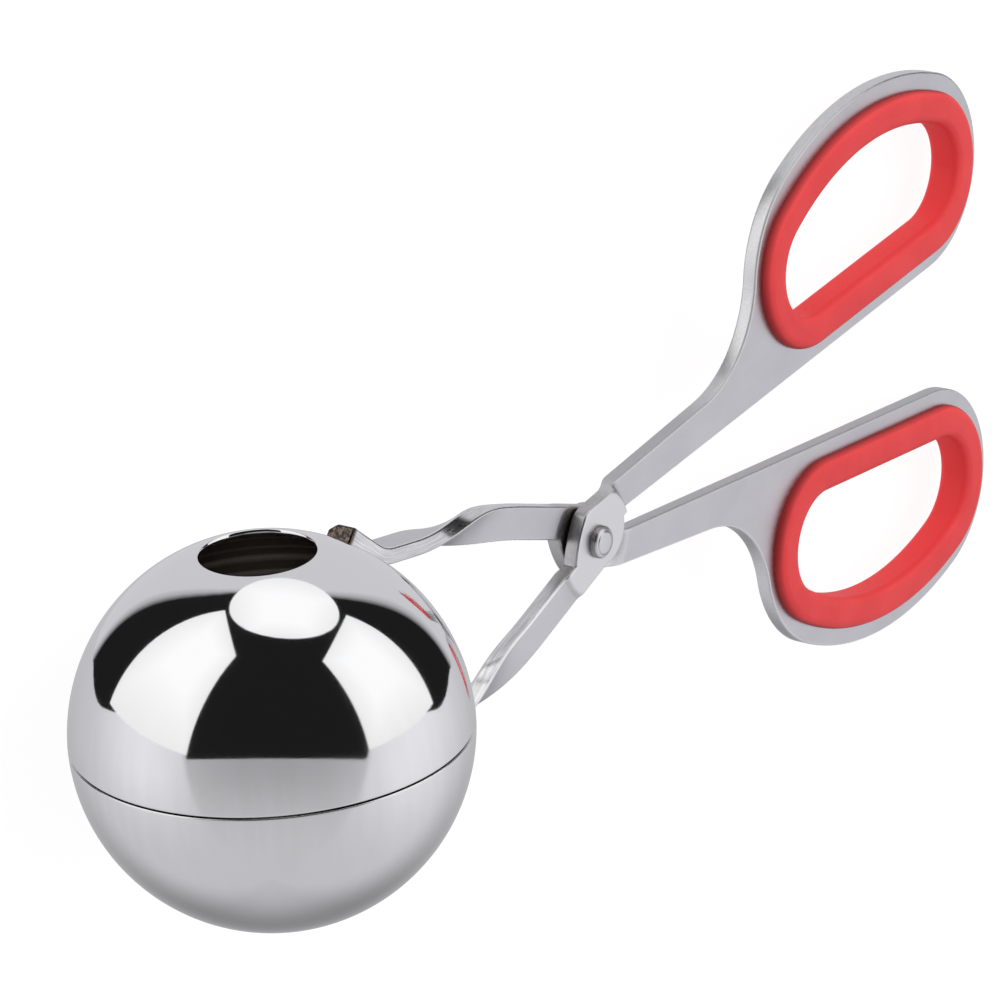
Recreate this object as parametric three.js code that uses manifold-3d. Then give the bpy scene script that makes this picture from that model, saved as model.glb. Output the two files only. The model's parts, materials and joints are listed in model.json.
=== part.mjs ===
// Meatball maker: a scissor tool whose two pierced half balls close on a pinch of mince.
// Millimetres. It is drawn in the tool's own frame, with the ball's centre at the origin, +X along
// the tool to the handles, +Y across the seam and +Z along the hinge. At the end it is laid on its
// side, as it rests on a table: on the ball and on the two finger rings.
import * as THREE from "three";
import { mergeVertices } from "three/addons/utils/BufferGeometryUtils.js";
import Module from "manifold-3d";

const wasm = await Module();
wasm.setup();

// The ball, closed
const BALL_R = 25.3;
const CUP_SHORT = 0.3; // each cup is this much shallower than a true half ball
const CUP_WALL = 1.0;
const SEAM_GAP = 0.3; // between the two rims
const HOLE_R = 7.1; // the round hole in the top of each cup
const CUP_SIDES = 48;
const CUP_STEPS = 12;

// The sheet steel that both levers are stamped from
const SHEET_T = 2.0;
const EDGE = 0.35; // broken edge
const STRAP_W = 4.8; // the strap from the pivot to the cup

// The lapped joint
const PIVOT_X = 68.2; // from the ball's centre
const DISC_R = 4.9;
const DISC_SHIFT = 0.6; // the disc's centre lies this far from the pivot, on the handles' side
const LAP_GAP = 0.3; // between the two discs
const LAP_CLEAR = 1.2; // from the disc's edge to the step in the other lever
const STEP_W = 0.7; // how far the disc's layer runs on over that step
const STRAP_TUCK = 0.3; // how far a strap's outer edge lies inside the disc's reach
const NECK_FLARE = 3.2; // how much the neck widens towards the disc
const SHANK_R = 1.7;
const SHANK_CLEAR = 0.1;
const HEAD_R = 2.3;
const HEAD_H = 0.9;
const HEAD_CHAMFER = 0.5;
const HEAD_GAP = 0.3; // between a disc and the rivet's head
const ROUND_SIDES = 48;

// The strap, from the cup to the pivot
const TAB_END = 40; // degrees from the cup's pole to the strap's welded end
const TAB_START = 46; // degrees from the pole to where the strap leaves the cup
const WELD_GAP = 0.3; // between the tab and the cup
const TAB_LEAD = 5.2; // straight length from the cup to the bend
const BEND_ROUND = 2.2;
const KNEE_REACH = 20.3; // from the pivot to the strap's knee
const KNEE_ROUND = 5;
const STRAP_ANGLE = 19.8; // degrees, between the knee and the pivot
const TWIST_LENGTH = 15; // the strap makes its quarter turn in this length, from the knee on
const STRAP_STATIONS = 56;

// The handle plate, measured from the pivot along its straight inner edge
const NECK_ANGLE = 5.8; // degrees
const NECK_W = 4.4; // at the pivot
const NECK_TAPER = 2.1; // degrees
const NECK_FILLET = 15.8;
const SHOULDER_R = 17.5;
const SHOULDER_ANGLE = 112.8; // degrees, where the outer arc meets the shoulder
const END_R = 14.5;

// The finger ring: a D of three arcs and one straight side, given by the middle of its bead
const RING_NEAR = 56.7; // from the pivot to the near corner's centre
const RING_SPAN = 30.6; // between the centres of the two corners
const RING_NEAR_R = 9.7;
const RING_FAR_R = 9.8;
const RING_OUTER_R = 42.4;
const RING_INSET = 4.9; // from the handle's outer edge to the middle of the bead
const RING_RISE = 4.5; // from the handle's straight inner edge to the middle of the bead
const BEAD_W = 5.4;
const BEAD_T = 5.2;
const BEAD_ROUND = 2.4; // on the side of the fingers
const LIP_ROUND = 1.2;
const PLATE_BITE = 1.7; // how deep the plate's edge sits in the ring's groove
const GROOVE_CLEAR = 0.3;
const CORNER_STEPS = 10;
const OUTER_STEPS = 16;

const rad = THREE.MathUtils.degToRad;
const DOWN = -Math.PI / 2;
const discLow = LAP_GAP / 2;
const discTop = discLow + SHEET_T;
const discReach = DISC_R + DISC_SHIFT;
const recessR = discReach + LAP_CLEAR;
const stepR = recessR + STEP_W;
const strapOut = discReach - STRAP_TUCK;
const cupCentre = new THREE.Vector2(0, CUP_SHORT);

const polished = new THREE.MeshStandardMaterial({
  name: "polished_steel",
  color: 0xdcdce0,
  roughness: 0.08,
  metalness: 1,
});
const satin = new THREE.MeshStandardMaterial({
  name: "satin_steel",
  color: 0xb9b7c0,
  roughness: 0.35,
  metalness: 1,
});
const red = new THREE.MeshStandardMaterial({
  name: "red_rubber",
  color: 0xd55456,
  roughness: 0.5,
  metalness: 0,
});

// A closed geometry as a solid for joining and cutting.
function solid(geometry) {
  const bare = new THREE.BufferGeometry();
  bare.setAttribute("position", geometry.getAttribute("position"));
  bare.setIndex(geometry.getIndex());
  const merged = mergeVertices(bare, 1e-4);
  const corners = merged.getIndex().array;
  const kept = [];
  for (let i = 0; i < corners.length; i += 3) {
    const [a, b, c] = corners.slice(i, i + 3);
    if (a !== b && b !== c && c !== a) kept.push(a, b, c);
  }
  return new wasm.Manifold(
    new wasm.Mesh({
      numProp: 3,
      vertProperties: merged.getAttribute("position").array,
      triVerts: new Uint32Array(kept),
    }),
  );
}

// A solid back as geometry to draw.
function drawn(body) {
  const mesh = body.getMesh();
  const geometry = new THREE.BufferGeometry();
  geometry.setAttribute("position", new THREE.BufferAttribute(mesh.vertProperties, 3));
  geometry.setIndex(new THREE.BufferAttribute(mesh.triVerts, 1));
  geometry.computeVertexNormals();
  return geometry;
}

function polar(centre, radius, angle) {
  return new THREE.Vector2(Math.cos(angle), Math.sin(angle)).multiplyScalar(radius).add(centre);
}

function angleTo(from, to) {
  return Math.atan2(to.y - from.y, to.x - from.x);
}

// Points of an arc, both ends included.
function arc(centre, radius, from, to, steps) {
  return Array.from({ length: steps + 1 }, (_, i) =>
    polar(centre, radius, from + ((to - from) * i) / steps),
  );
}

// A flat outline made solid between two heights, with broken edges.
function slab(points, low, high, edge = EDGE, holes = []) {
  const shape = new THREE.Shape(points);
  shape.holes = holes.map((hole) => new THREE.Path(hole));
  const geometry = new THREE.ExtrudeGeometry(shape, {
    depth: high - low - 2 * edge,
    bevelEnabled: edge > 0,
    bevelThickness: edge,
    bevelSize: edge,
    bevelOffset: -edge,
    bevelSegments: 1,
  });
  return geometry.translate(0, 0, low + edge);
}

function roundBar(radius, low, high, edge = 0) {
  const circle = arc(new THREE.Vector2(), radius, 0, 2 * Math.PI, ROUND_SIDES).slice(0, -1);
  return slab(circle, low, high, edge);
}

// A section carried through stations of {at, across, up}; across x up points along the way.
function sweep(stations, section, closed) {
  const positions = [];
  for (const { at, across, up } of stations)
    for (const [a, b] of section) {
      const p = at.clone().addScaledVector(across, a).addScaledVector(up, b);
      positions.push(p.x, p.y, p.z);
    }
  const n = section.length;
  const count = stations.length;
  const index = [];
  for (let i = 0; i < (closed ? count : count - 1); i++)
    for (let k = 0; k < n; k++) {
      const l = (k + 1) % n;
      const here = i * n;
      const next = ((i + 1) % count) * n;
      index.push(here + k, here + l, next + l, here + k, next + l, next + k);
    }
  if (!closed) {
    const last = (count - 1) * n;
    const outline = section.map(([a, b]) => new THREE.Vector2(a, b));
    for (const [a, b, c] of THREE.ShapeUtils.triangulateShape(outline, []))
      index.push(c, b, a, last + a, last + b, last + c);
  }
  const geometry = new THREE.BufferGeometry();
  geometry.setAttribute("position", new THREE.Float32BufferAttribute(positions, 3));
  geometry.setIndex(index);
  return geometry;
}

// Cup: half of the ball, on the -Y side, spun from sheet, with a round hole at its pole.
function cupGeometry() {
  const rimDrop = CUP_SHORT + SEAM_GAP / 2;
  const wallArc = (r) =>
    arc(cupCentre, r, Math.asin(HOLE_R / r) + DOWN, -Math.asin(rimDrop / r), CUP_STEPS);
  const profile = [...wallArc(BALL_R), ...wallArc(BALL_R - CUP_WALL).reverse()];
  return drawn(solid(new THREE.LatheGeometry([...profile, profile[0]], CUP_SIDES)));
}

// The strap's middle line: off the cup, over the bend and the knee, and in beside the pivot.
function strapLine() {
  const tabR = BALL_R + WELD_GAP + SHEET_T / 2;
  const end = polar(cupCentre, tabR, rad(TAB_END) + DOWN);
  const start = polar(cupCentre, tabR, rad(TAB_START) + DOWN);
  const halfTab = rad(TAB_START - TAB_END) / 2;
  const middle = polar(cupCentre, tabR / Math.cos(halfTab), rad(TAB_START) - halfTab + DOWN);
  const bend = polar(start, TAB_LEAD, rad(TAB_START));
  const pivot = new THREE.Vector2(PIVOT_X, 0);
  const foot = polar(pivot, strapOut - STRAP_W / 2, rad(STRAP_ANGLE) + DOWN);
  const knee = polar(foot, KNEE_REACH, rad(STRAP_ANGLE) + Math.PI);
  const slope = angleTo(bend, knee);
  const path = new THREE.Path().moveTo(end.x, end.y);
  path.quadraticCurveTo(middle.x, middle.y, start.x, start.y);
  const bendIn = polar(bend, -BEND_ROUND, rad(TAB_START));
  const bendOut = polar(bend, BEND_ROUND, slope);
  path.lineTo(bendIn.x, bendIn.y).quadraticCurveTo(bend.x, bend.y, bendOut.x, bendOut.y);
  const kneeIn = polar(knee, -KNEE_ROUND, slope);
  const kneeOut = polar(knee, KNEE_ROUND, rad(STRAP_ANGLE));
  path.lineTo(kneeIn.x, kneeIn.y).quadraticCurveTo(knee.x, knee.y, kneeOut.x, kneeOut.y);
  return path.lineTo(foot.x, foot.y);
}

// The strap: flat on the cup, a quarter turn, then on edge to the pivot.
function strapGeometry() {
  const path = strapLine();
  const length = path.getLength();
  const twistTo = length - KNEE_REACH;
  const hinge = new THREE.Vector3(0, 0, 1);
  const stations = [];
  for (let i = 0; i <= STRAP_STATIONS; i++) {
    const t = i / STRAP_STATIONS;
    const at = path.getPointAt(t);
    const along = path.getTangentAt(t);
    const side = new THREE.Vector3(-along.y, along.x, 0);
    const turned = THREE.MathUtils.smoothstep(t * length, twistTo - TWIST_LENGTH, twistTo);
    const turn = (1 - turned) * (Math.PI / 2);
    const across = side.clone().multiplyScalar(Math.cos(turn));
    across.addScaledVector(hinge, Math.sin(turn));
    const up = hinge.clone().multiplyScalar(Math.cos(turn)).addScaledVector(side, -Math.sin(turn));
    stations.push({ at: new THREE.Vector3(at.x, at.y, 0), across, up });
  }
  const w = STRAP_W / 2;
  const h = SHEET_T / 2;
  const section = [
    [w, h - EDGE],
    [w - EDGE, h],
    [EDGE - w, h],
    [-w, h - EDGE],
    [-w, EDGE - h],
    [EDGE - w, -h],
    [w - EDGE, -h],
    [w, EDGE - h],
  ];
  return sweep(stations, section, false);
}

// The finger ring's D in the handle's frame: +X along the inner edge, the pivot at the origin.
const neckLow = strapOut - NECK_W;
const ringLow = neckLow + RING_RISE;
const nearCorner = new THREE.Vector2(RING_NEAR, ringLow + RING_NEAR_R);
const farCorner = new THREE.Vector2(RING_NEAR + RING_SPAN, ringLow + RING_FAR_R);
const outerCentre = lowerMeeting(
  nearCorner,
  RING_OUTER_R - RING_NEAR_R,
  farCorner,
  RING_OUTER_R - RING_FAR_R,
);
const nearAngle = angleTo(outerCentre, nearCorner);
const farAngle = angleTo(outerCentre, farCorner);

// The lower of the two points that lie ra from a and rb from b.
function lowerMeeting(a, ra, b, rb) {
  const gap = a.distanceTo(b);
  const along = (gap * gap + ra * ra - rb * rb) / (2 * gap);
  const drop = Math.sqrt(ra * ra - along * along);
  const heading = angleTo(a, b);
  return polar(polar(a, along, heading), drop, heading + DOWN);
}

// The D, moved outwards by some offset, counterclockwise from the far corner.
function ringOutline(offset) {
  const nearEnd = 2 * Math.PI + DOWN;
  return [
    ...arc(farCorner, RING_FAR_R + offset, DOWN, farAngle, CORNER_STEPS),
    ...arc(outerCentre, RING_OUTER_R + offset, farAngle, nearAngle, OUTER_STEPS).slice(1, -1),
    ...arc(nearCorner, RING_NEAR_R + offset, nearAngle, nearEnd, CORNER_STEPS),
  ];
}

// The handle plate: a straight inner edge, round end, long outer arc, shoulder and neck.
function handleOutline() {
  const outerR = RING_OUTER_R + RING_INSET;
  const endUp = neckLow + END_R;
  const endReach = (outerR - END_R) ** 2 - (endUp - outerCentre.y) ** 2;
  const endCentre = new THREE.Vector2(outerCentre.x + Math.sqrt(endReach), endUp);
  const endAngle = angleTo(outerCentre, endCentre);
  const shoulder = polar(outerCentre, outerR - SHOULDER_R, rad(SHOULDER_ANGLE));
  const neckTop = new THREE.Vector2(0, strapOut);
  const taper = rad(NECK_TAPER);
  const reach = shoulder.clone().sub(neckTop).rotateAround(new THREE.Vector2(), -taper);
  const back = Math.sqrt((SHOULDER_R + NECK_FILLET) ** 2 - (reach.y - NECK_FILLET) ** 2);
  const fillet = new THREE.Vector2(reach.x - back, NECK_FILLET)
    .rotateAround(new THREE.Vector2(), taper)
    .add(neckTop);
  const shoulderEnd = angleTo(fillet, shoulder) + Math.PI;
  return [
    new THREE.Vector2(0, neckLow),
    ...arc(endCentre, END_R, DOWN, endAngle, CORNER_STEPS),
    ...arc(outerCentre, outerR, endAngle, rad(SHOULDER_ANGLE), OUTER_STEPS).slice(1, -1),
    ...arc(shoulder, SHOULDER_R, rad(SHOULDER_ANGLE), shoulderEnd, 6),
    ...arc(fillet, NECK_FILLET, shoulderEnd - Math.PI, DOWN + taper, 8).slice(1),
    neckTop,
  ];
}

// From the handle's frame to the tool's.
function atHandle(geometry) {
  return geometry.rotateZ(rad(NECK_ANGLE)).translate(PIVOT_X, 0, 0);
}

// Lever: handle plate, pivot disc and strap in one piece of sheet.
function leverGeometry() {
  const hole = ringOutline(BEAD_W / 2 - PLATE_BITE);
  const handle = solid(atHandle(slab(handleOutline(), -SHEET_T / 2, SHEET_T / 2, EDGE, [hole])));
  const atPivot = (geometry) => solid(geometry.translate(PIVOT_X, 0, 0));
  const strapRoot = (width, angle, flare) => {
    const outline = [
      new THREE.Vector2(0, strapOut - width - flare),
      new THREE.Vector2(stepR, strapOut - width),
      new THREE.Vector2(2 * stepR, strapOut - width),
      new THREE.Vector2(2 * stepR, strapOut),
      new THREE.Vector2(0, strapOut),
    ];
    return atPivot(slab(outline, discLow, discTop).rotateZ(angle));
  };
  const roots = strapRoot(NECK_W, rad(NECK_ANGLE), NECK_FLARE).add(
    strapRoot(STRAP_W, rad(STRAP_ANGLE) + Math.PI, 0),
  );
  const reach = atPivot(roundBar(stepR, discLow, discTop));
  const disc = atPivot(roundBar(DISC_R, discLow, discTop, EDGE).translate(DISC_SHIFT, 0, 0));
  const recess = atPivot(roundBar(recessR, -2 * SHEET_T, discLow));
  const bore = atPivot(roundBar(SHANK_R + SHANK_CLEAR, -discTop, 2 * discTop));
  const straps = handle.add(solid(strapGeometry())).subtract(recess);
  return drawn(straps.add(roots.intersect(reach)).add(disc).subtract(bore));
}

// Finger ring: a moulded bead with a groove that snaps over the edge of the plate's hole.
function ringGeometry() {
  const hinge = new THREE.Vector3(0, 0, 1);
  const middle = ringOutline(0);
  const outside = ringOutline(1);
  const stations = middle.map((p, i) => {
    const inward = p.clone().sub(outside[i]);
    return {
      at: new THREE.Vector3(p.x, p.y, 0),
      across: new THREE.Vector3(inward.x, inward.y, 0),
      up: hinge,
    };
  });
  const w = BEAD_W / 2;
  const h = BEAD_T / 2;
  const groove = SHEET_T / 2 + GROOVE_CLEAR;
  const floor = PLATE_BITE + GROOVE_CLEAR - w;
  const inside = arc(new THREE.Vector2(w - BEAD_ROUND, h - BEAD_ROUND), BEAD_ROUND, 0, -DOWN, 3);
  const lip = arc(new THREE.Vector2(LIP_ROUND - w, h - LIP_ROUND), LIP_ROUND, -DOWN, Math.PI, 2);
  const upper = [...inside, ...lip].map((p) => [p.x, p.y]);
  upper.push([-w, groove], [floor, groove]);
  const lower = upper.map(([a, b]) => [a, -b]).reverse();
  return atHandle(sweep(stations, [...upper, ...lower], true));
}

// Rivet: a plain shank with two flat heads.
function rivetGeometry() {
  const under = discTop + HEAD_GAP;
  const top = under + HEAD_H;
  const half = [
    [SHANK_R, under],
    [HEAD_R, under],
    [HEAD_R, top - HEAD_CHAMFER],
    [HEAD_R - HEAD_CHAMFER, top],
    [0, top],
  ];
  const profile = [...half.map(([r, z]) => [r, -z]).reverse(), ...half];
  const points = profile.map(([r, z]) => new THREE.Vector2(r, z));
  const turned = new THREE.LatheGeometry(points, ROUND_SIDES).rotateX(Math.PI / 2);
  return drawn(solid(turned.translate(PIVOT_X, 0, 0)));
}

const cup = cupGeometry();
const lever = leverGeometry();
const ring = drawn(solid(ringGeometry()));

function named(name, geometry, material) {
  const mesh = new THREE.Mesh(geometry, material);
  mesh.name = name;
  return mesh;
}

// One jaw: a cup below the seam, its lever, and the ring in the handle above the seam.
function jaw(name, cupName, leverName, ringName) {
  const group = new THREE.Group();
  group.name = name;
  group.add(named(cupName, cup, polished));
  group.add(named(leverName, lever, satin));
  group.add(named(ringName, ring, red));
  return group;
}

const lowerJaw = jaw("lower_jaw", "lower_cup", "lower_cup_lever", "upper_ring");
lowerJaw.add(named("pivot_rivet", rivetGeometry(), satin));
const upperJaw = jaw("upper_jaw", "upper_cup", "upper_cup_lever", "lower_ring");
upperJaw.rotation.x = Math.PI;

// Lay the tool on its side: it tips until the far ends of both rings touch the table.
const tool = new THREE.Group();
tool.name = "tool";
tool.add(lowerJaw, upperJaw);
const farFoot = farCorner.clone().rotateAround(new THREE.Vector2(), rad(NECK_ANGLE));
const restX = PIVOT_X + farFoot.x + RING_FAR_R + BEAD_W / 2 - LIP_ROUND;
const restTilt = Math.asin(BALL_R / Math.hypot(restX, BEAD_T / 2)) - Math.atan2(BEAD_T / 2, restX);
tool.rotation.y = restTilt;

const root = new THREE.Group();
root.name = "meatball_maker";
root.add(tool);
const box = new THREE.Box3().setFromObject(root, true);
const middle = box.getCenter(new THREE.Vector3());
tool.position.set(-middle.x, -middle.y, -box.min.z);

export default root;
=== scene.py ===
import json
import math

import bmesh
import bpy
import numpy as np
from mathutils import Matrix, Vector
from mathutils.geometry import delaunay_2d_cdt


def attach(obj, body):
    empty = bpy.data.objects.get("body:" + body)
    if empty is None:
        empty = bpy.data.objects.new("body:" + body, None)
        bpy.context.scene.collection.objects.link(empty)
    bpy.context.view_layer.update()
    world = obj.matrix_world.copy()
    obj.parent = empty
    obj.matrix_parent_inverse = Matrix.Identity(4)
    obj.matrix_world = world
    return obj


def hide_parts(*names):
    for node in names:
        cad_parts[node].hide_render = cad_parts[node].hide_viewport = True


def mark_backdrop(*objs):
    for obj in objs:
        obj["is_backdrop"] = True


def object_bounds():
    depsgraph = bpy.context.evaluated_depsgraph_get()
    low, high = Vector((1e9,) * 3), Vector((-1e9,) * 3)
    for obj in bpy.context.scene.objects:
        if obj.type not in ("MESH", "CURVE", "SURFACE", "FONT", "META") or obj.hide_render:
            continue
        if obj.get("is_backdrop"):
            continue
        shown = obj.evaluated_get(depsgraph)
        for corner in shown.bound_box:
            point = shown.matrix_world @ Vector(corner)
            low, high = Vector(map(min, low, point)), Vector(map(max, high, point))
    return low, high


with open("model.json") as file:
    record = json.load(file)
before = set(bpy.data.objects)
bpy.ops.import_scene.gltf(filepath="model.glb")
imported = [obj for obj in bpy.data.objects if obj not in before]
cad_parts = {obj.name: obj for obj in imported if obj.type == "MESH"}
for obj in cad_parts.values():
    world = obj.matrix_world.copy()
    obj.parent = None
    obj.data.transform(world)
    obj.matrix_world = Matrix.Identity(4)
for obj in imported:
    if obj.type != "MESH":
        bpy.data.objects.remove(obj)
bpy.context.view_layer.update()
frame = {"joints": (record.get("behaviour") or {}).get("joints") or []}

# How the tool lies: on its side on the table, tipped a little about Y. It is drawn in its own
# frame, with the ball's centre at the origin, X along the tool to the handles, Y across the seam
# and Z along the rivet. The two jaws are the same, half a turn about X apart.
mm = 0.001
hinge = frame["joints"][0]
pivot_x = 68.2 * mm
rivet_way = -Vector(hinge["axis"]).normalized()
seam_way = Vector((0, 1, 0))
tool_way = seam_way.cross(rivet_way)
ball_centre = Vector(hinge["pos_m"]) - tool_way * pivot_x


def standing(centre, *ways):
    """The place of a thing: where its centre is, and which ways its X, Y and Z point."""
    return Matrix.Translation(centre) @ Matrix(ways).transposed().to_4x4()


lower_place = standing(ball_centre, tool_way, seam_way, rivet_way)
upper_place = lower_place @ Matrix.Rotation(math.pi, 4, "X")


# The two cups: half balls spun from thin stainless sheet, each with a round hole at its pole, and
# polished to a mirror outside. Inside they keep the rings that the spinning tool left. Each is
# a little less than half a ball, so that the two rims meet at a fine seam, and welded to its lever.
ball_r = 25.3 * mm
cup_short = 0.3 * mm
cup_wall = 0.6 * mm
cup_seam = 0.26 * mm
cup_hole_r = 7.35 * mm
cup_rim_round = 0.13 * mm


def add_node(tree, kind, *inputs, **settings):
    """A new node, its inputs filled in order with values or with other nodes' outputs."""
    node = tree.nodes.new(kind)
    for name, value in settings.items():
        setattr(node, name, value)
    for socket, value in zip(node.inputs, inputs):
        if isinstance(value, bpy.types.NodeSocket):
            tree.links.new(value, socket)
        elif value is not None:
            socket.default_value = value
    return node


def sum_of(tree, operation, *inputs):
    """The output of a new Math node, in a shader or in a geometry tree."""
    return add_node(tree, "ShaderNodeMath", *inputs, operation=operation).outputs[0]


def spread(tree, value, low, high, to_low, to_high):
    """A value carried from one range to another, and held at its ends."""
    return add_node(tree, "ShaderNodeMapRange", value, low, high, to_low, to_high).outputs[0]


def new_finish(name):
    """A new material: its tree, its main shader, and the place on the object in metres."""
    finish = bpy.data.materials.new(name)
    finish.use_nodes = True
    tree = finish.node_tree
    shader = tree.nodes["Principled BSDF"]
    place = tree.nodes.new("ShaderNodeTexCoord").outputs["Object"]
    return finish, tree, shader, place


def mixed(tree, share, first, second):
    """Two colours, or colour outputs, mixed by a share."""
    node = tree.nodes.new("ShaderNodeMix")
    node.data_type = "RGBA"
    for name, value in (("Factor_Float", share), ("A_Color", first), ("B_Color", second)):
        socket = next(s for s in node.inputs if s.identifier == name)
        if isinstance(value, bpy.types.NodeSocket):
            tree.links.new(value, socket)
        else:
            socket.default_value = value
    return next(s for s in node.outputs if s.identifier == "Result_Color")


def noise(tree, place, scale, detail=2.0, rough=0.5, turn=0.0):
    """Noise round a half over a place. Three scales stretch it along the axes of the turned place."""
    if isinstance(scale, tuple):
        stretch = add_node(tree, "ShaderNodeMapping", place)
        stretch.inputs["Rotation"].default_value = (0, turn, 0)
        stretch.inputs["Scale"].default_value = scale
        place = stretch.outputs[0]
        scale = 1.0
    node = tree.nodes.new("ShaderNodeTexNoise")
    tree.links.new(place, node.inputs["Vector"])
    node.inputs["Scale"].default_value = scale
    node.inputs["Detail"].default_value = detail
    node.inputs["Roughness"].default_value = rough
    return node.outputs["Fac"]


def bumped(tree, shader, height, depth):
    """Fine relief of the given depth in metres on a shader."""
    node = tree.nodes.new("ShaderNodeBump")
    node.inputs["Strength"].default_value = 1.0
    node.inputs["Distance"].default_value = depth
    tree.links.new(height, node.inputs["Height"])
    tree.links.new(node.outputs["Normal"], shader.inputs["Normal"])


mirror_steel, tree, shader, place = new_finish("mirror_polished_steel")
shader.inputs["Metallic"].default_value = 1.0
from_centre = add_node(tree, "ShaderNodeVectorMath", place, tuple(ball_centre), operation="SUBTRACT")
from_centre = from_centre.outputs[0]
lengthwise, across_seam, aloft = add_node(tree, "ShaderNodeSeparateXYZ", from_centre).outputs
to_seam = sum_of(tree, "ABSOLUTE", across_seam)
off_centre = sum_of(tree, "ADD", to_seam, cup_short)
from_cup = add_node(tree, "ShaderNodeCombineXYZ", lengthwise, off_centre, aloft).outputs[0]
radius = add_node(tree, "ShaderNodeVectorMath", from_cup, operation="LENGTH").outputs["Value"]
inside = spread(tree, radius, ball_r - cup_wall * 0.88, ball_r - cup_wall * 0.97, 0, 1)
near_seam = spread(tree, to_seam, 0.0, 7 * mm, 1, 0)
low_down = spread(tree, to_seam, 1 * mm, 15 * mm, 1, 0)
smears = noise(tree, from_centre, (160, 60, 160), 4.0)
buffing = noise(tree, from_centre, (420, 22, 420), 3.0)
worn = sum_of(tree, "MULTIPLY_ADD", smears, 0.05, 0.025)
worn = sum_of(tree, "MULTIPLY_ADD", near_seam, 0.07, worn)
worn = sum_of(tree, "MULTIPLY_ADD", sum_of(tree, "MULTIPLY", buffing, low_down), 0.05, worn)
polish = mixed(
    tree,
    sum_of(tree, "MULTIPLY", spread(tree, buffing, 0.35, 0.7, 0, 1), low_down),
    (0.88, 0.88, 0.89, 1),
    (0.84, 0.832, 0.83, 1),
)
# inside the cup the steel is painted dark, as painted shade in the hollow ball, with lighter rings that
# the spinning tool left
tool_rings = noise(tree, from_centre, (8, 620, 8), 2.0)
shaded_spun_inside = mixed(
    tree, spread(tree, tool_rings, 0.5, 0.68, 0, 1), (0.19, 0.166, 0.146, 1), (0.66, 0.60, 0.545, 1)
)
tree.links.new(mixed(tree, inside, polish, shaded_spun_inside), shader.inputs["Base Color"])
cup_rough = add_node(tree, "ShaderNodeMix", inside, None, worn, 0.33)
tree.links.new(cup_rough.outputs[0], shader.inputs["Roughness"])
spin_rings = noise(tree, from_centre, (30, 2600, 30), 3.0)
ring_depth = sum_of(tree, "MULTIPLY_ADD", inside, 0.9, 0.02)
bumped(tree, shader, sum_of(tree, "MULTIPLY", spin_rings, ring_depth), 0.05 * mm)


def start_shape(name, sizes):
    """A new geometry tree with an input for each size or material, and those inputs."""
    tree = bpy.data.node_groups.new(name, "GeometryNodeTree")
    tree.interface.new_socket("Geometry", in_out="INPUT", socket_type="NodeSocketGeometry")
    for size, value in sizes.items():
        kind = "NodeSocketFloat" if isinstance(value, float) else "NodeSocketMaterial"
        tree.interface.new_socket(size, in_out="INPUT", socket_type=kind)
    tree.interface.new_socket("Geometry", in_out="OUTPUT", socket_type="NodeSocketGeometry")
    return tree, tree.nodes.new("NodeGroupInput").outputs


def end_shape(tree, shape, material):
    """The end of a geometry tree: the shape is shaded smooth, made real and given its material."""
    for kind in ("GeometryNodeSetShadeSmooth", "GeometryNodeRealizeInstances"):
        shape = add_node(tree, kind, shape).outputs[0]
    shape = add_node(tree, "GeometryNodeSetMaterial", shape, None, material)
    add_node(tree, "NodeGroupOutput", shape.outputs[0])


cup_sizes = {
    "Ball Radius": ball_r,
    "Hole Radius": cup_hole_r,
    "Rim Drop": cup_short + cup_seam / 2,
    "Centre Shift": cup_short,
    "Steel": mirror_steel,
}
spun_cup, given = start_shape("spun_cup", cup_sizes)
given_r = given["Ball Radius"]
sheet = add_node(spun_cup, "GeometryNodeMeshGrid", 1.0, 1.0, 97, 257)
spot = spun_cup.nodes.new("GeometryNodeInputPosition").outputs[0]
flat = add_node(spun_cup, "ShaderNodeSeparateXYZ", spot).outputs
hole_angle = sum_of(spun_cup, "ARCSINE", sum_of(spun_cup, "DIVIDE", given["Hole Radius"], given_r))
rim_angle = sum_of(spun_cup, "ARCCOSINE", sum_of(spun_cup, "DIVIDE", given["Rim Drop"], given_r))
span = sum_of(spun_cup, "SUBTRACT", rim_angle, hole_angle)
down = sum_of(spun_cup, "MULTIPLY_ADD", span, sum_of(spun_cup, "ADD", flat[0], 0.5), hole_angle)
around = sum_of(spun_cup, "MULTIPLY", flat[1], 2 * math.pi)
width = sum_of(spun_cup, "MULTIPLY", given_r, sum_of(spun_cup, "SINE", down))
height = sum_of(spun_cup, "MULTIPLY", given_r, sum_of(spun_cup, "COSINE", down))
spun = add_node(
    spun_cup,
    "ShaderNodeCombineXYZ",
    sum_of(spun_cup, "MULTIPLY", width, sum_of(spun_cup, "COSINE", around)),
    sum_of(spun_cup, "SUBTRACT", given["Centre Shift"], height),
    sum_of(spun_cup, "MULTIPLY", width, sum_of(spun_cup, "SINE", around)),
)
shell = add_node(spun_cup, "GeometryNodeSetPosition", sheet.outputs[0], None, spun.outputs[0])
shell = add_node(spun_cup, "GeometryNodeMergeByDistance", shell.outputs[0])
shell.inputs["Distance"].default_value = 1e-6
end_shape(spun_cup, shell.outputs[0], given["Steel"])


def baked(piece):
    """The piece's mesh with its modifiers applied, which are then removed."""
    solved = piece.evaluated_get(bpy.context.evaluated_depsgraph_get())
    mesh = bpy.data.meshes.new_from_object(solved)
    piece.modifiers.clear()
    return mesh


def shaped(piece, tree, sizes):
    """The piece's mesh as a geometry tree makes it with the given sizes."""
    shaping = piece.modifiers.new(tree.name, "NODES")
    shaping.node_group = tree
    for item in tree.interface.items_tree:
        if item.name in sizes:
            shaping[item.identifier] = sizes[item.name]
    return baked(piece)


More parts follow.
